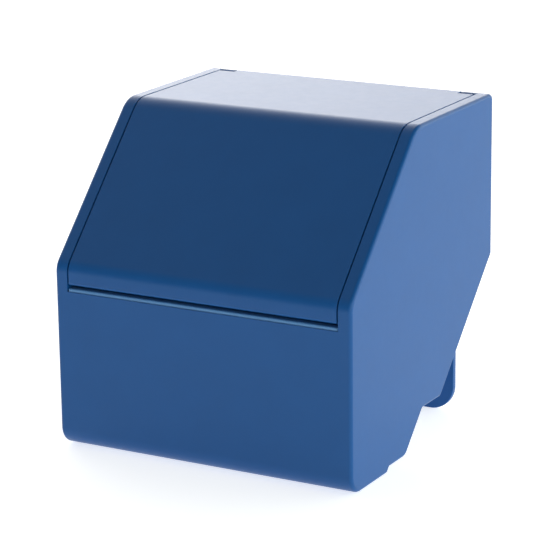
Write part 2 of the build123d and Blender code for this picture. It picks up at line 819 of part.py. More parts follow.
with BuildPart() as amplifier_chip:
    with BuildSketch(on_deck(0, 31.0, under)):
        Rectangle(6.0, 5.0)
    extrude(amount=-1.7)
save(amplifier_chip, "amplifier_chip")

with BuildPart() as board_header:
    with BuildSketch(on_deck(0, 52.5, under)):
        Rectangle(16.0, 5.0)
    extrude(amount=-5.5)
save(board_header, "board_header")


def bent(a, b, bow):
    """End, middle and end of a length of hook-up wire bent to a single arc."""
    return a, tuple((p + q) / 2 + d for p, q, d in zip(a, b, bow)), b


output_runs = [bent((x, front + flange_y - 21.4, conn_z + z), deck_point(x, 52.5, under - 6.2),
                    (0, 0.4, -2.0)) for x, z in pins]
with BuildPart() as output_wires:
    for a, mid, b in output_runs:
        with BuildLine() as run:
            ThreePointArc(a, mid, b)
        with BuildSketch(Plane(origin=a, z_dir=run.line % 0)):
            Circle(0.7)
        sweep(path=run.line)
save(output_wires, "output_wires")

jack_runs = [bent((x * (jack_x + 4.5), front + plate_y - 27.9, conn_z),
                  deck_point(x * 27.0, 54.5, under - 0.8), (0, -0.2, -1.6)) for x in (-1, 1)]
with BuildPart() as jack_wires:
    for a, mid, b in jack_runs:
        with BuildLine() as run:
            ThreePointArc(a, mid, b)
        with BuildSketch(Plane(origin=a, z_dir=run.line % 0)):
            Circle(0.7)
        sweep(path=run.line)
save(jack_wires, "jack_wires")

transformer_runs = [bent((x, front + transformer_y, fz + 29.7), deck_point(x * 2.5, 18.5, under - 0.7),
                         (0, 1.2, -1.2)) for x in (-1.2, 1.2)]
with BuildPart() as transformer_wires:
    for a, mid, b in transformer_runs:
        with BuildLine() as run:
            ThreePointArc(a, mid, b)
        with BuildSketch(Plane(origin=a, z_dir=run.line % 0)):
            Circle(0.6)
        sweep(path=run.line)
save(transformer_wires, "transformer_wires")

print(len(written), "pieces:", ", ".join(written))
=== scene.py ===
import json
import math
import random

import bmesh
import bpy
from mathutils import Matrix, Vector


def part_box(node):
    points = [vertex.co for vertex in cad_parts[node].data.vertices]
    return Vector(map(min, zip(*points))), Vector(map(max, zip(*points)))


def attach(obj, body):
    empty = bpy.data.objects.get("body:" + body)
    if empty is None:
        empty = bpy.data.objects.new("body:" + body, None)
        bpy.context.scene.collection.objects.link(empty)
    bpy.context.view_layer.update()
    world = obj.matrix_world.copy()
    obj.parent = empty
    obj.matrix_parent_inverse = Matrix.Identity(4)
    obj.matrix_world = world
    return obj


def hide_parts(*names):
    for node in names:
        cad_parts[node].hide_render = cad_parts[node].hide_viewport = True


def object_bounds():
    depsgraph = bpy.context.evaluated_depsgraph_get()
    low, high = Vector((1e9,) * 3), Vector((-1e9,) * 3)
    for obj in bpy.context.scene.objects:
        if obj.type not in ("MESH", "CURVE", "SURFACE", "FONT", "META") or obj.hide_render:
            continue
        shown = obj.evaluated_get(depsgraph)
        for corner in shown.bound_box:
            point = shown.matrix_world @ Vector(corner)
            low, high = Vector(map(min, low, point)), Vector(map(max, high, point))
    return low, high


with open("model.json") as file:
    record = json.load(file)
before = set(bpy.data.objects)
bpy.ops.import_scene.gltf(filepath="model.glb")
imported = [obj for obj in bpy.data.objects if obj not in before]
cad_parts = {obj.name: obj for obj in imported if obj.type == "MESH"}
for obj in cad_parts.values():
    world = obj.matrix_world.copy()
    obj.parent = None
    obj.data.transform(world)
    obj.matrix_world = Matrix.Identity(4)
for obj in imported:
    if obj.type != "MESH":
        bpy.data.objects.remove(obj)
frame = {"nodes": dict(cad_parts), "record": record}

cad_lo, cad_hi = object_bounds()
cad_lo, cad_hi = Vector(cad_lo), Vector(cad_hi)
nodes = frame["nodes"]
scene = bpy.context.scene
MM = 0.001

# ------------------------------------------------------------------
# sizes read back from the frame
# ------------------------------------------------------------------
house_lo, house_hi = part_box("housing")
lid_lo, lid_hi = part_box("lid")
plate_lo, plate_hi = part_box("back_plate")
FRONT = house_lo.y                       # Y of the front face
HALF = house_hi.x                        # outer half width
DEPTH = (house_hi.y - house_lo.y) / MM
HEIGHT = house_hi.z / MM
BASE = house_lo.z / MM
LID_HALF = lid_hi.x / MM
IN_HALF = LID_HALF + 0.5
LIP_Z = lid_lo.z / MM
PLATE_Y = (plate_lo.y - FRONT) / MM
PLATE_T = (plate_hi.y - plate_lo.y) / MM

WALL, SHEET = 4.25, 3.0
BEND_Z, TOP_Y = 57.6, 42.1
LEDGE = 49.6
BELLY_K, WING_K, STEP_Z, ARCH_Z, FOOT_Y = 33.4, 45.9, 13.4, 1.8, 23.0
HINGE_Y, HINGE_Z, BARREL_R = 93.8, 99.0, 2.0
KNUCKLE_X, NOTCH_X, NOTCH_Y = 40.2, 39.8, 91.4
LID_T, RAIL_K = 2.5, 3.9
A = math.atan2(HEIGHT - BEND_Z, TOP_Y)
SA, CA = math.sin(A), math.cos(A)


def slope_z(k, y):
    return BEND_Z + (y * SA - k) / CA


def low_bend(k):
    return (k, slope_z(k, k))


def high_bend(k, z=None):
    z = HEIGHT - k if z is None else z
    return ((k + CA * (z - BEND_Z)) / SA, z)


DECK_Y0 = WALL + 0.3
DECK_Z0 = slope_z(14.0, DECK_Y0)


def deck(x, s, h=0.0):
    """Point on the control deck in metres: s up the slope, h out of it."""
    return Vector((x * MM, FRONT + (DECK_Y0 + s * CA - h * SA) * MM,
                   (DECK_Z0 + s * SA + h * CA) * MM))


# ------------------------------------------------------------------
# profiles and solids
# ------------------------------------------------------------------
def rounded(points, radii, step=4.0):
    """Closed outline with its corners rounded; radii maps a corner's index to its radius."""
    out = []
    n = len(points)
    for i, p in enumerate(points):
        r = radii.get(i, 0)
        p = Vector(p)
        if not r:
            out.append(p)
            continue
        a = (Vector(points[i - 1]) - p).normalized()
        b = (Vector(points[(i + 1) % n]) - p).normalized()
        half = a.angle(b) / 2
        d = r / math.tan(half)
        c = p + (a + b).normalized() * (r / math.sin(half))
        s, e = p + a * d - c, p + b * d - c
        turn = math.atan2(s.x * e.y - s.y * e.x, s.dot(e))
        k = max(2, int(math.ceil(abs(math.degrees(turn)) / step)))
        for j in range(k + 1):
            t = turn * j / k
            out.append(c + Vector((s.x * math.cos(t) - s.y * math.sin(t),
                                   s.x * math.sin(t) + s.y * math.cos(t))))
    clean = []
    for q in out:
        if not clean or (q - clean[-1]).length > 1e-4:
            clean.append(q)
    if (clean[0] - clean[-1]).length < 1e-4:
        clean.pop()
    return clean


def signed_area(pts):
    return sum(pts[i - 1].x * pts[i].y - pts[i].x * pts[i - 1].y for i in range(len(pts))) / 2


def inset(pts, d):
    """Outline moved inwards by d along its corner normals."""
    sgn = 1 if signed_area(pts) > 0 else -1
    out = []
    n = len(pts)
    for i, p in enumerate(pts):
        a = (p - pts[i - 1]).normalized()
        b = (pts[(i + 1) % n] - p).normalized()
        na, nb = Vector((-a.y, a.x)) * sgn, Vector((-b.y, b.x)) * sgn
        m = (na + nb)
        m = m / max(m.length_squared, 1e-9) * 2
        if m.length > 2.5:
            m = m.normalized() * 2.5
        out.append(p + m * d)
    return out


def yz(p, x):
    """Profile point (distance from the front, height) in millimetres to the row frame."""
    return Vector((x * MM, FRONT + p[0] * MM, p[1] * MM))


def stack(bm, rings, caps=(True, True)):
    """Joins rings of equal length into one closed skin."""
    made = [[bm.verts.new(p) for p in ring] for ring in rings]
    n = len(made[0])
    for a, b in zip(made, made[1:]):
        for i in range(n):
            j = (i + 1) % n
            bm.faces.new((a[i], a[j], b[j], b[i]))
    if caps[0]:
        bm.faces.new(list(reversed(made[0])))
    if caps[1]:
        bm.faces.new(made[-1])
    return made


def finish_mesh(bm, name):
    bmesh.ops.recalc_face_normals(bm, faces=bm.faces)
    me = bpy.data.meshes.new(name)
    bm.to_mesh(me)
    bm.free()
    return me


def put(me, name):
    o = bpy.data.objects.new(name, me)
    scene.collection.objects.link(o)
    return o


def prism(pts, x0, x1, name="tmp"):
    bm = bmesh.new()
    stack(bm, [[yz(p, x0) for p in pts], [yz(p, x1) for p in pts]])
    return put(finish_mesh(bm, name), name)


def cheek_solid(pts, x_in, x_out, r, steps=5):
    """A side cheek whose outer edge is rounded by r all the way round."""
    sgn = 1 if x_out > x_in else -1
    rings = [[yz(p, x_in) for p in pts]]
    for k in range(steps + 1):
        t = math.pi / 2 * k / steps
        ring = inset(pts, r * (1 - math.cos(t))) if k else pts
        rings.append([yz(p, x_out - sgn * r + sgn * r * math.sin(t)) for p in ring])
    bm = bmesh.new()
    stack(bm, rings)
    return put(finish_mesh(bm, "tmp"), "tmp")


def box_solid(lo, hi, name="tmp"):
    bm = bmesh.new()
    c = bmesh.ops.create_cube(bm, size=1.0)
    lo, hi = [Vector([f(p, q) for p, q in zip(lo, hi)]) for f in (min, max)]
    for v in c["verts"]:
        v.co = Vector([lo[i] + (v.co[i] + 0.5) * (hi[i] - lo[i]) for i in range(3)])
    return put(finish_mesh(bm, name), name)


def baked(o):
    """The object's mesh with its modifiers applied."""
    bpy.context.view_layer.update()
    deps = bpy.context.evaluated_depsgraph_get()
    me = bpy.data.meshes.new_from_object(o.evaluated_get(deps), depsgraph=deps)
    o.modifiers.clear()
    o.data = me
    return o


def boolean(o, other, how):
    m = o.modifiers.new("b", "BOOLEAN")
    m.operation = how
    m.solver = "EXACT"
    m.object = other
    baked(o)
    bpy.data.objects.remove(other)
    return o


def tidy(o, angle=0.4):
    """Merges the coplanar faces that a union leaves."""
    bm = bmesh.new()
    bm.from_mesh(o.data)
    bmesh.ops.remove_doubles(bm, verts=bm.verts, dist=2e-6)
    bmesh.ops.dissolve_degenerate(bm, edges=bm.edges, dist=2e-6)
    bmesh.ops.dissolve_limit(bm, angle_limit=math.radians(angle), verts=bm.verts, edges=bm.edges)
    bmesh.ops.recalc_face_normals(bm, faces=bm.faces)
    bm.to_mesh(o.data)
    bm.free()
    return o


def soften(o, width, segments=3, angle=32.0):
    """Rounds the sharp edges and gives the flats true flat shading."""
    m = o.modifiers.new("bevel", "BEVEL")
    m.width = width * MM
    m.segments = segments
    m.limit_method = "ANGLE"
    m.angle_limit = math.radians(angle)
    m.use_clamp_overlap = True
    m.miter_outer = "MITER_ARC"
    baked(o)
    return shade(o)


def shade(o, angle=35.0):
    me = o.data
    me.shade_smooth()
    me.set_sharp_from_angle(angle=math.radians(angle))
    m = o.modifiers.new("wn", "WEIGHTED_NORMAL")
    m.mode = "FACE_AREA"
    m.weight = 100
    m.keep_sharp = True
    return baked(o)


def join(base, others):
    bm = bmesh.new()
    bm.from_mesh(base.data)
    for o in others:
        bm.from_mesh(o.data)
        bpy.data.objects.remove(o)
    bm.to_mesh(base.data)
    bm.free()
    return base


def plate_from_outlines(outer, holes, y0, y1, bevel, name):
    """Flat plate normal to Y with rounded edges, from outlines in X and Z (mm)."""
    cu = bpy.data.curves.new(name, "CURVE")
    cu.dimensions = "2D"
    cu.fill_mode = "BOTH"
    cu.extrude = abs(y1 - y0) / 2 * MM - bevel * MM
    cu.bevel_depth = bevel * MM
    cu.bevel_resolution = 2
    cu.offset = -bevel * MM
    for ring in [outer] + holes:
        sp = cu.splines.new("POLY")
        sp.points.add(len(ring) - 1)
        for q, p in zip(sp.points, ring):
            q.co = (p[0] * MM, p[1] * MM, 0, 1)
        sp.use_cyclic_u = True
    o = bpy.data.objects.new(name, cu)
    scene.collection.objects.link(o)
    o.matrix_world = Matrix.Translation((0, FRONT + (y0 + y1) / 2 * MM, 0)) @ Matrix.Rotation(math.pi / 2, 4, "X")
    bpy.context.view_layer.update()
    deps = bpy.context.evaluated_depsgraph_get()
    me = bpy.data.meshes.new_from_object(o.evaluated_get(deps), depsgraph=deps)
    me.transform(o.matrix_world)
    bpy.data.objects.remove(o)
    bm = bmesh.new()
    bm.from_mesh(me)
    bmesh.ops.remove_doubles(bm, verts=bm.verts, dist=1e-6)
    bmesh.ops.recalc_face_normals(bm, faces=bm.faces)
    bm.to_mesh(me)
    bm.free()
    return shade(put(me, name))


def circle(cx, cz, r, n=48):
    return [Vector((cx + r * math.cos(2 * math.pi * i / n), cz + r * math.sin(2 * math.pi * i / n))) for i in range(n)]


def lathe(profile, place, n=64, name="tmp"):
    """Turned piece: profile is (radius, height) in mm, place maps local to the row frame."""
    bm = bmesh.new()
    rings = []
    for r, h in profile:
        if r < 1e-6:
            rings.append([bm.verts.new(place @ Vector((0, 0, h * MM)))])
        else:
            rings.append([bm.verts.new(place @ Vector((r * MM * math.cos(2 * math.pi * i / n),
                                                       r * MM * math.sin(2 * math.pi * i / n), h * MM)))
                          for i in range(n)])
    for a, b in zip(rings, rings[1:]):
        for i in range(n):
            j = (i + 1) % n
            if len(a) == 1 and len(b) == 1:
                continue
            if len(a) == 1:
                bm.faces.new((a[0], b[j], b[i]))
            elif len(b) == 1:
                bm.faces.new((a[i], a[j], b[0]))
            else:
                bm.faces.new((a[i], a[j], b[j], b[i]))
    if len(rings[0]) > 1 and len(rings[-1]) > 1 and profile[0] == profile[-1]:
        bmesh.ops.remove_doubles(bm, verts=bm.verts, dist=1e-7)
    return put(finish_mesh(bm, name), name)


def deck_place(x, s, h=0.0):
    """Matrix whose Z axis stands out of the deck at a point."""
    m = Matrix(((1, 0, 0), (0, CA, -SA), (0, SA, CA))).to_4x4()
    m.translation = deck(x, s, h)
    return m


# ------------------------------------------------------------------
# camera
# ------------------------------------------------------------------
def make_camera():
    az, el, roll = math.radians(29.249), math.radians(15.658), math.radians(-0.7326)
    back = Vector((math.sin(az) * math.cos(el), -math.cos(az) * math.cos(el), math.sin(el)))
    right = (-back).cross(Vector((0, 0, 1))).normalized()
    up = right.cross(-back)
    r2 = right * math.cos(roll) + up * math.sin(roll)
    u2 = up * math.cos(roll) - right * math.sin(roll)
    cam = bpy.data.cameras.new("cam")
    cam.sensor_width = 36.0
    cam.lens = 2519.1 * 36.0 / 550.0
    cam.clip_start, cam.clip_end = 0.05, 50.0
    o = bpy.data.objects.new("cam", cam)
    scene.collection.objects.link(o)
    m = Matrix((r2, u2, back)).transposed().to_4x4()
    m.translation = Vector((0.363144, FRONT - 0.602708, 0.257427))
    o.matrix_world = m
    scene.camera = o


make_camera()

# ------------------------------------------------------------------
# materials
# ------------------------------------------------------------------
class Mat:
    """Small helper around one node tree."""

    def __init__(self, name, base, rough, metallic=0.0, specular=0.5, coat=0.0, coat_rough=0.1):
        self.m = bpy.data.materials.new(name)
        self.m.use_nodes = True
        self.t = self.m.node_tree
        self.b = self.t.nodes["Principled BSDF"]
        self.b.inputs["Base Color"].default_value = (*base, 1)
        self.b.inputs["Roughness"].default_value = rough
        self.b.inputs["Metallic"].default_value = metallic
        self.b.inputs["Specular IOR Level"].default_value = specular
        self.b.inputs["Coat Weight"].default_value = coat
        self.b.inputs["Coat Roughness"].default_value = coat_rough
        self.base = base
        self.rough = rough
        self.co = self.t.nodes.new("ShaderNodeTexCoord").outputs["Object"]
        self.height = None

    def link(self, a, b):
        self.t.links.new(a, b)

    def noise(self, scale, detail=2.0, rough=0.5, stretch=(1, 1, 1), distortion=0.0):
        mp = self.t.nodes.new("ShaderNodeMapping")
        mp.inputs["Scale"].default_value = stretch
        self.link(self.co, mp.inputs["Vector"])
        n = self.t.nodes.new("ShaderNodeTexNoise")
        n.inputs["Scale"].default_value = scale
        n.inputs["Detail"].default_value = detail
        n.inputs["Roughness"].default_value = rough
        n.inputs["Distortion"].default_value = distortion
        self.link(mp.outputs["Vector"], n.inputs["Vector"])
        return n.outputs["Fac"]

    def voronoi(self, scale, feature="F1"):
        n = self.t.nodes.new("ShaderNodeTexVoronoi")
        n.feature = feature
        n.inputs["Scale"].default_value = scale
        self.link(self.co, n.inputs["Vector"])
        return n.outputs["Distance"]

    def ramp(self, value, stops):
        r = self.t.nodes.new("ShaderNodeValToRGB")
        e = r.color_ramp.elements
        while len(e) < len(stops):
            e.new(0.5)
        for k, (pos, col) in zip(e, stops):
            k.position = pos
            k.color = (*col, 1) if len(col) == 3 else col
        self.link(value, r.inputs["Fac"])
        return r.outputs["Color"]

    def remap(self, value, lo, hi, a=0.0, b=1.0):
        r = self.t.nodes.new("ShaderNodeMapRange")
        r.inputs["From Min"].default_value = a
        r.inputs["From Max"].default_value = b
        r.inputs["To Min"].default_value = lo
        r.inputs["To Max"].default_value = hi
        self.link(value, r.inputs["Value"])
        return r.outputs["Result"]

    def mix(self, fac, a, b, blend="MIX"):
        n = self.t.nodes.new("ShaderNodeMix")
        n.data_type = "RGBA"
        n.blend_type = blend
        if isinstance(fac, (int, float)):
            n.inputs[0].default_value = fac
        else:
            self.link(fac, n.inputs[0])
        for v, i in ((a, 6), (b, 7)):
            if isinstance(v, tuple):
                n.inputs[i].default_value = (*v, 1)
            else:
                self.link(v, n.inputs[i])
        return n.outputs[2]

    def color(self, out):
        self.link(out, self.b.inputs["Base Color"])
        return self

    def vary(self, scale, amount, detail=3.0, stretch=(1, 1, 1)):
        """Slight light and dark drift of the base colour."""
        f = self.noise(scale, detail, 0.6, stretch)
        lo = tuple(c * (1 - amount) for c in self.base)
        hi = tuple(min(1, c * (1 + amount)) for c in self.base)
        return self.ramp(f, [(0.3, lo), (0.7, hi)])

    def roughness(self, scale, spread, detail=3.0, stretch=(1, 1, 1)):
        f = self.noise(scale, detail, 0.6, stretch)
        self.link(self.remap(f, self.rough - spread, self.rough + spread, 0.3, 0.7), self.b.inputs["Roughness"])
        return self

    def bump(self, value, strength, distance):
        n = self.t.nodes.new("ShaderNodeBump")
        n.inputs["Strength"].default_value = strength
        n.inputs["Distance"].default_value = distance * MM
        self.link(value, n.inputs["Height"])
        if self.height is not None:
            self.link(self.height, n.inputs["Normal"])
        self.height = n.outputs["Normal"]
        self.link(self.height, self.b.inputs["Normal"])
        return self


def satin_blue(name, seed=0.0, rough=0.36):
    """Satin powder coat: fine orange peel, faint pigment drift."""
    base = (0.0070, 0.0845, 0.282)
    k = Mat(name, base, rough, specular=0.252)
    drift = k.vary(90, 0.03, 4.0)
    fleck = k.noise(2600, 1.0, 0.5)
    k.color(k.mix(k.remap(fleck, 0.0, 0.10, 0.35, 0.75), drift, (0.012, 0.099, 0.310)))
    k.roughness(420, 0.012, 3.0)
    k.bump(k.noise(900, 2.0, 0.45), 0.08, 0.006)
    k.bump(k.noise(2400, 1.0, 0.5), 0.05, 0.004)
    return k.m


def metal(name, base, rough, brushed=None, grain=900, amount=0.08, bump=0.05):
    k = Mat(name, base, rough, metallic=1.0)
    stretch = brushed or (1, 1, 1)
    k.color(k.vary(grain * 0.4, amount * 0.4, 2.0, stretch))
    k.roughness(grain * 2.5, 0.015, 2.0, stretch)
    k.bump(k.noise(grain * 3.0, 2.0, 0.5, stretch), bump * 0.25, 0.002)
    return k.m


def plastic(name, base, rough, scale=1400, bump=0.10, amount=0.10, coat=0.0):
    k = Mat(name, base, rough, coat=coat)
    k.color(k.vary(scale * 0.25, amount, 3.0))
    k.roughness(scale * 0.5, 0.04)
    k.bump(k.noise(scale, 2.0, 0.5), bump, 0.008)
    return k.m


def rubber_mat():
    k = Mat("rubber_black", (0.014, 0.014, 0.015), 0.72, specular=0.3)
    k.color(k.vary(300, 0.25, 4.0))
    k.roughness(500, 0.06)
    k.bump(k.voronoi(1500), 0.2, 0.02)
    return k.m


def deck_paint():
    """Fine-textured black coat of the control deck."""
    k = Mat("deck_black", (0.030, 0.031, 0.034), 0.55, specular=0.4)
    k.color(k.vary(500, 0.25, 4.0))
    k.roughness(300, 0.06)
    k.bump(k.noise(2100, 3.0, 0.6), 0.35, 0.02)
    return k.m


def board_mat():
    k = Mat("board_green", (0.012, 0.10, 0.045), 0.30, coat=0.4, coat_rough=0.15)
    tracks = k.ramp(k.voronoi(420, "DISTANCE_TO_EDGE"), [(0.03, (0.020, 0.16, 0.07)), (0.06, (0.010, 0.085, 0.038))])
    k.color(tracks)
    k.roughness(800, 0.04)
    k.bump(k.voronoi(420, "DISTANCE_TO_EDGE"), 0.1, 0.01)
    return k.m


def winding_mat():
    k = Mat("copper_winding", (0.45, 0.16, 0.06), 0.3, metallic=0.9)
    w = k.t.nodes.new("ShaderNodeTexWave")
    w.wave_type, w.bands_direction = "BANDS", "Z"
    w.inputs["Scale"].default_value = 900
    k.link(k.co, w.inputs["Vector"])
    k.color(k.ramp(w.outputs["Fac"], [(0.1, (0.20, 0.06, 0.02)), (0.6, (0.55, 0.21, 0.08))]))
    k.bump(w.outputs["Fac"], 0.5, 0.05)
    return k.m


def resistor_mat():
    k = Mat("resistor_lacquer", (0.50, 0.38, 0.22), 0.35)
    w = k.t.nodes.new("ShaderNodeTexWave")
    w.wave_type, w.bands_direction = "BANDS", "X"
    w.inputs["Scale"].default_value = 210
    k.link(k.co, w.inputs["Vector"])
    k.color(k.ramp(w.outputs["Fac"], [(0.0, (0.30, 0.07, 0.03)), (0.22, (0.50, 0.38, 0.22)), (0.9, (0.52, 0.40, 0.24))]))
    k.roughness(900, 0.05)
    return k.m


def lens_mat():
    k = Mat("lamp_lens", (0.55, 0.75, 1.0), 0.12)
    k.b.inputs["Transmission Weight"].default_value = 0.75
    k.b.inputs["IOR"].default_value = 1.49
    k.color(k.vary(400, 0.08))
    k.bump(k.noise(900, 2.0), 0.05, 0.01)
    return k.m


BLUE = satin_blue("satin_blue")
BLUE_LID = satin_blue("satin_blue_lid")
BLUE_PLATE = satin_blue("satin_blue_plate", rough=0.38)
DECK = deck_paint()
RUBBER = rubber_mat()
ZINC = metal("zinc_steel", (0.42, 0.43, 0.46), 0.32, grain=1100)
BLACK_STEEL = metal("black_steel", (0.12, 0.12, 0.13), 0.38, grain=900, amount=0.2)
NICKEL = metal("satin_nickel", (0.44, 0.43, 0.405), 0.30, grain=1300)
BRASS = metal("turned_brass", (0.66, 0.48, 0.22), 0.28, grain=1500)
MUMETAL = metal("annealed_can", (0.40, 0.39, 0.38), 0.42, brushed=(1, 1, 12), grain=300, amount=0.12)
GOLD = metal("gold_flash", (0.85, 0.58, 0.22), 0.22, grain=1500, amount=0.05)
MAGNET = metal("magnet_plate", (0.58, 0.58, 0.60), 0.16, grain=700)
KNOB = plastic("knob_soft_black", (0.022, 0.022, 0.024), 0.50, bump=0.25)
WHITE = plastic("pointer_white", (0.72, 0.72, 0.69), 0.40)
BLACK = plastic("black_moulding", (0.016, 0.016, 0.018), 0.35)
GREY = plastic("button_grey", (0.30, 0.31, 0.33), 0.38)
SLEEVE = plastic("capacitor_sleeve", (0.018, 0.024, 0.060), 0.25, coat=0.3)
FERRITE = plastic("ferrite", (0.035, 0.035, 0.038), 0.6, bump=0.5, amount=0.3)
WIRE = plastic("wire_sleeve", (0.32, 0.018, 0.016), 0.42)
# paler blue for the ledge strip under the lid lip: a painted highlight that stands in for the bright edge line, not a
# real trim colour
LEDGE_HIGHLIGHT_PAINT = plastic("painted_ledge_highlight", (0.085, 0.25, 0.52), 0.45, bump=0.12, amount=0.05)
BOARD, WINDING, RESISTOR, LENS = board_mat(), winding_mat(), resistor_mat(), lens_mat()

finish_of = {
    "blue_housing": BLUE, "blue_lid": BLUE_LID, "blue_plate": BLUE_PLATE, "deck_metal": DECK,
    "rubber_black": RUBBER, "steel_zinc": ZINC, "steel_black": BLACK_STEEL, "nickel": NICKEL,
    "brass_bush": BRASS, "mu_metal": MUMETAL, "knob_black": KNOB, "pointer_white": WHITE,
    "plastic_black": BLACK, "button_grey": GREY, "lamp_clear": LENS, "gold_contact": GOLD,
    "ferrite": FERRITE, "copper_winding": WINDING, "board_green": BOARD, "cap_sleeve": SLEEVE,
    "resistor_body": RESISTOR, "wire_sleeve": WIRE, "magnet_nickel": MAGNET, "strip_blue": LEDGE_HIGHLIGHT_PAINT,
}
for part in frame["record"]["subparts"]:
    o = nodes[part["node"]]
    o.data.materials.clear()
    o.data.materials.append(finish_of[part["material_slot"]])


def piece(o, name, body, material, slot, *replaced):
    o.name = name
    o.data.name = name
    o.data.materials.clear()
    o.data.materials.append(material)
    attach(o, body)
    if replaced:
        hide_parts(*replaced)
    return o


# ------------------------------------------------------------------
# housing
# ------------------------------------------------------------------
def cheek_profile():
    pts = [(0, BASE), (0, BEND_Z), (TOP_Y, HEIGHT), (DEPTH, HEIGHT), (DEPTH, DEPTH - WING_K),
           (STEP_Z + WING_K, STEP_Z), (STEP_Z + BELLY_K, STEP_Z), (ARCH_Z + BELLY_K, ARCH_Z),
           (FOOT_Y + ARCH_Z - BASE, ARCH_Z), (FOOT_Y, BASE)]
    return rounded(pts, {0: 6.0, 1: 6.0, 2: 9.0, 3: 1.8, 4: 1.4, 5: 1.3, 6: 1.3, 7: 4.0, 9: 1.3})


def tray_profile():
    r2 = math.sqrt(2)
    pts = [(0, BASE), (0, LEDGE), (WALL, LEDGE), (WALL, BASE + SHEET),
           (BASE + SHEET + BELLY_K - SHEET * r2, BASE + SHEET),
           (PLATE_Y, PLATE_Y - BELLY_K + SHEET * r2), (PLATE_Y, PLATE_Y - BELLY_K),
           (ARCH_Z + BELLY_K, ARCH_Z), (FOOT_Y + ARCH_Z - BASE, ARCH_Z), (FOOT_Y, BASE)]
    return rounded(pts, {0: 6.0, 3: 1.2, 7: 4.0, 9: 1.3})


def make_housing():
    outline = cheek_profile()
    body = cheek_solid(outline, IN_HALF, HALF / MM, 1.2)
    body = boolean(body, cheek_solid(outline, -IN_HALF, -HALF / MM, 1.2), "UNION")
    body = boolean(body, prism(tray_profile(), -IN_HALF - 1, IN_HALF + 1), "UNION")
    y = PLATE_Y + PLATE_T
    header = rounded([(y, 87.5), (DEPTH, 87.5), (DEPTH, 96.5), (93.6, 96.5), (93.6, 89.5), (y, 89.5)], {2: 0.8})
    body = boolean(body, prism(header, -IN_HALF - 1, IN_HALF + 1), "UNION")
    tidy(body)
    soften(body, 0.35)
    extra = []
    for s in (-1, 1):
        k0, k1 = RAIL_K, RAIL_K + 2.5
        rail = [Vector(p) for p in ((WALL - 0.5, slope_z(k0, WALL - 0.5)), high_bend(k0), (PLATE_Y, HEIGHT - k0),
                                    (PLATE_Y, HEIGHT - k1), high_bend(k1), (WALL - 0.5, slope_z(k1, WALL - 0.5)))]
        extra.append(soften(prism(rounded(rail, {1: 9.0 - k0}), s * (IN_HALF + 0.5), s * 43.0), 0.25))
        ring = [Vector((HINGE_Y + BARREL_R * math.cos(t * math.pi / 24), HINGE_Z + BARREL_R * math.sin(t * math.pi / 24))) for t in range(48)]
        extra.append(soften(prism(ring, s * (IN_HALF + 0.5), s * KNUCKLE_X), 0.25))
        for z in (58.0, 82.0):
            extra.append(soften(box_solid((s * (IN_HALF + 0.5) * MM, FRONT + (PLATE_Y - 8) * MM, (z - 4) * MM),
                                          (s * 38.75 * MM, FRONT + PLATE_Y * MM, (z + 4) * MM)), 0.4))
        for q in (10.0, 56.0):
            b = bmesh.new()
            c = bmesh.ops.create_cube(b, size=1.0)
            for v in c["verts"]:
                v.co = Vector((s * (38.75 + (v.co.x + 0.5) * 7.5) * MM, v.co.y * 8 * MM, (v.co.z - 0.5) * 8 * MM))
            b.transform(deck_place(0, q, -1.5))
            extra.append(soften(put(finish_mesh(b, "tmp"), "tmp"), 0.4))
    up = [Vector(p) for p in ((WALL - 0.5, 45.0), (WALL - 0.5, 49.0), (WALL, 49.4), (WALL, 53.4), (WALL + 1.4, 53.4), (WALL + 1.4, 45.0))]
    extra.append(soften(prism(up, -42.5, 42.5), 0.25))
    return join(body, extra)


piece(make_housing(), "housing_shell", "chassis", BLUE, "blue_housing", "housing")


# ------------------------------------------------------------------
# lid
# ------------------------------------------------------------------
def make_lid():
    skin = rounded([(0, LIP_Z), (0, BEND_Z), (TOP_Y, HEIGHT), (HINGE_Y, HEIGHT),
                    (HINGE_Y, HEIGHT - LID_T), high_bend(LID_T), low_bend(LID_T), (LID_T, LIP_Z)],
                   {0: 1.1, 1: 6.0, 2: 9.0, 5: 9.0 - LID_T, 6: 6.0 - LID_T})
    # the hinge barrel closes the rear edge of the skin
    k = max(range(len(skin)), key=lambda i: skin[i].x + skin[i].y * 1e-3)
    arc = []
    n = 30
    for i in range(n + 1):
        t = math.pi / 2 - (math.pi * 1.5) * i / n
        arc.append(Vector((HINGE_Y + BARREL_R * math.cos(t), HINGE_Z + BARREL_R * math.sin(t))))
    q = math.sqrt(BARREL_R ** 2 - (HEIGHT - LID_T - HINGE_Z) ** 2)
    tail = Vector((HINGE_Y - q, HEIGHT - LID_T))
    arc = [a for a in arc if not (a.x < HINGE_Y and a.y > HEIGHT - LID_T)]
    out = []
    for p in skin:
        if abs(p.x - HINGE_Y) < 0.01 and abs(p.y - HEIGHT) < 0.01:
            out += arc
        elif abs(p.x - HINGE_Y) < 0.01:
            out.append(tail)
        else:
            out.append(p)
    o = prism(out, -LID_HALF, LID_HALF)
    for s in (-1, 1):
        x0, x1 = sorted((s * NOTCH_X * MM, s * 50 * MM))
        cut = box_solid((x0, FRONT + NOTCH_Y * MM, 0.090), (x1, FRONT + 97 * MM, 0.104))
        o = boolean(o, cut, "DIFFERENCE")
    tidy(o)
    soften(o, 0.45)
    extra = []
    for s in (-1, 1):
        post = lathe([(0, 4.0), (3.35, 4.0), (3.6, 4.25), (3.6, 10.6), (4.6, 11.6), (4.6, 12.0), (0, 12.0)],
                     deck_place(s * 31.0, 15.0), 40)
        extra.append(shade(post))
    return join(o, extra)


piece(make_lid(), "lid_shell", "lid", BLUE_LID, "blue_lid", "lid")


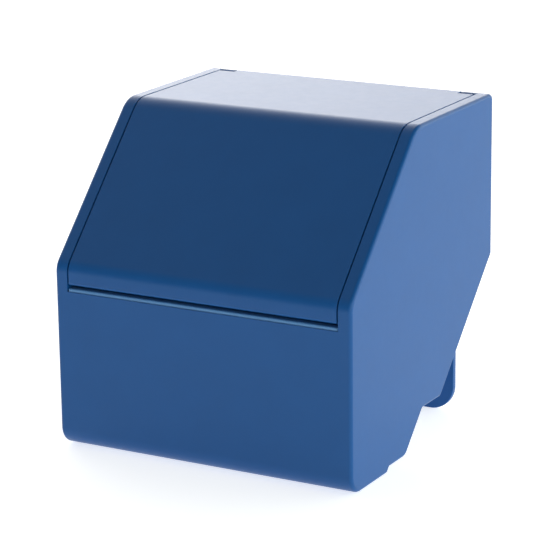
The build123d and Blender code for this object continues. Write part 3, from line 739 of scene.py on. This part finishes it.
# ------------------------------------------------------------------
# rear plate
# ------------------------------------------------------------------
def make_plate():
    outer = rounded([(-42.5, 0), (42.5, 0), (42.5, 44), (45.5, 47), (45.5, 89.3), (-45.5, 89.3), (-45.5, 47), (-42.5, 44)],
                    {0: 8.0, 1: 8.0}, 3.0)
    window = rounded([(-24, 13), (24, 13), (24, 29), (-24, 29)], {0: 5, 1: 5, 2: 5, 3: 5}, 6.0)
    holes = [window, circle(0, 69.5, 12.0, 64), circle(-27, 69.5, 4.9), circle(27, 69.5, 4.9)]
    holes += [circle(x, z, 1.65, 24) for x, z in ((-41.5, 58), (41.5, 58), (-41.5, 82), (41.5, 82))]
    holes += [circle(-9.5, 81.5, 1.5, 24), circle(9.5, 57.5, 1.5, 24)]
    return plate_from_outlines(outer, holes, PLATE_Y, PLATE_Y + PLATE_T, 0.3, "rear_plate_skin")


piece(make_plate(), "rear_plate_skin", "chassis", BLUE_PLATE, "blue_plate", "back_plate")

# ------------------------------------------------------------------
# floor, light and background
# ------------------------------------------------------------------
def make_floor():
    bm = bmesh.new()
    bmesh.ops.create_grid(bm, x_segments=1, y_segments=1, size=8.0)
    o = put(finish_mesh(bm, "studio_floor"), "studio_floor")
    o.location.z = -0.00005
    m = bpy.data.materials.new("studio_floor")
    m.use_nodes = True
    b = m.node_tree.nodes["Principled BSDF"]
    b.inputs["Base Color"].default_value = (0.84, 0.84, 0.84, 1)
    b.inputs["Roughness"].default_value = 0.9
    b.inputs["Specular IOR Level"].default_value = 0.1
    b.inputs["Emission Color"].default_value = (1, 1, 1, 1)
    b.inputs["Emission Strength"].default_value = 0.68
    o.data.materials.append(m)


def make_world():
    w = bpy.data.worlds.new("studio")
    scene.world = w
    w.use_nodes = True
    t = w.node_tree
    t.nodes.clear()
    out = t.nodes.new("ShaderNodeOutputWorld")
    bg = t.nodes.new("ShaderNodeBackground")
    co = t.nodes.new("ShaderNodeTexCoord")
    sep = t.nodes.new("ShaderNodeSeparateXYZ")
    t.links.new(co.outputs["Generated"], sep.inputs[0])

    def mr(value, a, b, lo, hi):
        n = t.nodes.new("ShaderNodeMapRange")
        n.interpolation_type = "SMOOTHSTEP"
        for k, v in zip(("From Min", "From Max", "To Min", "To Max"), (a, b, lo, hi)):
            n.inputs[k].default_value = v
        t.links.new(value, n.inputs["Value"])
        return n.outputs["Result"]

    def ma(op, a, b):
        n = t.nodes.new("ShaderNodeMath")
        n.operation = op
        for i, v in ((0, a), (1, b)):
            if isinstance(v, (int, float)):
                n.inputs[i].default_value = v
            else:
                t.links.new(v, n.inputs[i])
        return n.outputs[0]

    deg = 180.0 / math.pi
    az = ma("MULTIPLY", ma("ARCTAN2", sep.outputs["X"], ma("MULTIPLY", sep.outputs["Y"], -1.0)), deg)
    el = ma("MULTIPLY", ma("ARCSINE", sep.outputs["Z"], 0.0), deg)

    def sector(centre, before, after):
        """Soft sector of the horizon; azimuth runs from the front through the right side."""
        n = t.nodes.new("ShaderNodeMath")
        n.operation = "WRAP"
        t.links.new(ma("SUBTRACT", az, centre), n.inputs[0])
        n.inputs[1].default_value, n.inputs[2].default_value = 180.0, -180.0
        return ma("MULTIPLY", mr(n.outputs[0], 0.0, after, 1.0, 0.0), mr(n.outputs[0], -before, 0.0, 0.0, 1.0))

    low = mr(el, 20.0, 45.0, 1.0, 0.0)
    mid = ma("MULTIPLY", mr(el, 20.0, 45.0, 0.0, 1.0), mr(el, 50.0, 75.0, 1.0, 0.0))
    total = 0.11
    for band, centre, before, after, level in (
            (low, 180.0, 50.0, 40.0, 1.7), (low, 220.0, 40.0, 60.0, 4.3),
            (mid, 220.0, 40.0, 60.0, 1.0), (mid, 280.0, 60.0, 80.0, 0.62)):
        total = ma("ADD", total, ma("MULTIPLY", ma("MULTIPLY", sector(centre, before, after), band), level))
    side = 0.0
    for centre, before, after, level in ((70.0, 70.0, 60.0, 2.0), (130.0, 60.0, 50.0, 3.1)):
        side = ma("ADD", side, ma("MULTIPLY", ma("MULTIPLY", sector(centre, before, after), low), level))
    t.links.new(total, bg.inputs["Strength"])
    bg.inputs["Color"].default_value = (1, 1, 1, 1)
    fill = t.nodes.new("ShaderNodeBackground")
    fill.inputs["Color"].default_value = (0.92, 1.02, 0.96, 1)
    t.links.new(side, fill.inputs["Strength"])
    both = t.nodes.new("ShaderNodeAddShader")
    t.links.new(bg.outputs[0], both.inputs[0])
    t.links.new(fill.outputs[0], both.inputs[1])
    t.links.new(both.outputs[0], out.inputs[0])


make_floor()
make_world()
scene.view_settings.view_transform = "Standard"
scene.view_settings.look = "None"
scene.view_settings.exposure = 0.0
scene.view_settings.gamma = 1.0
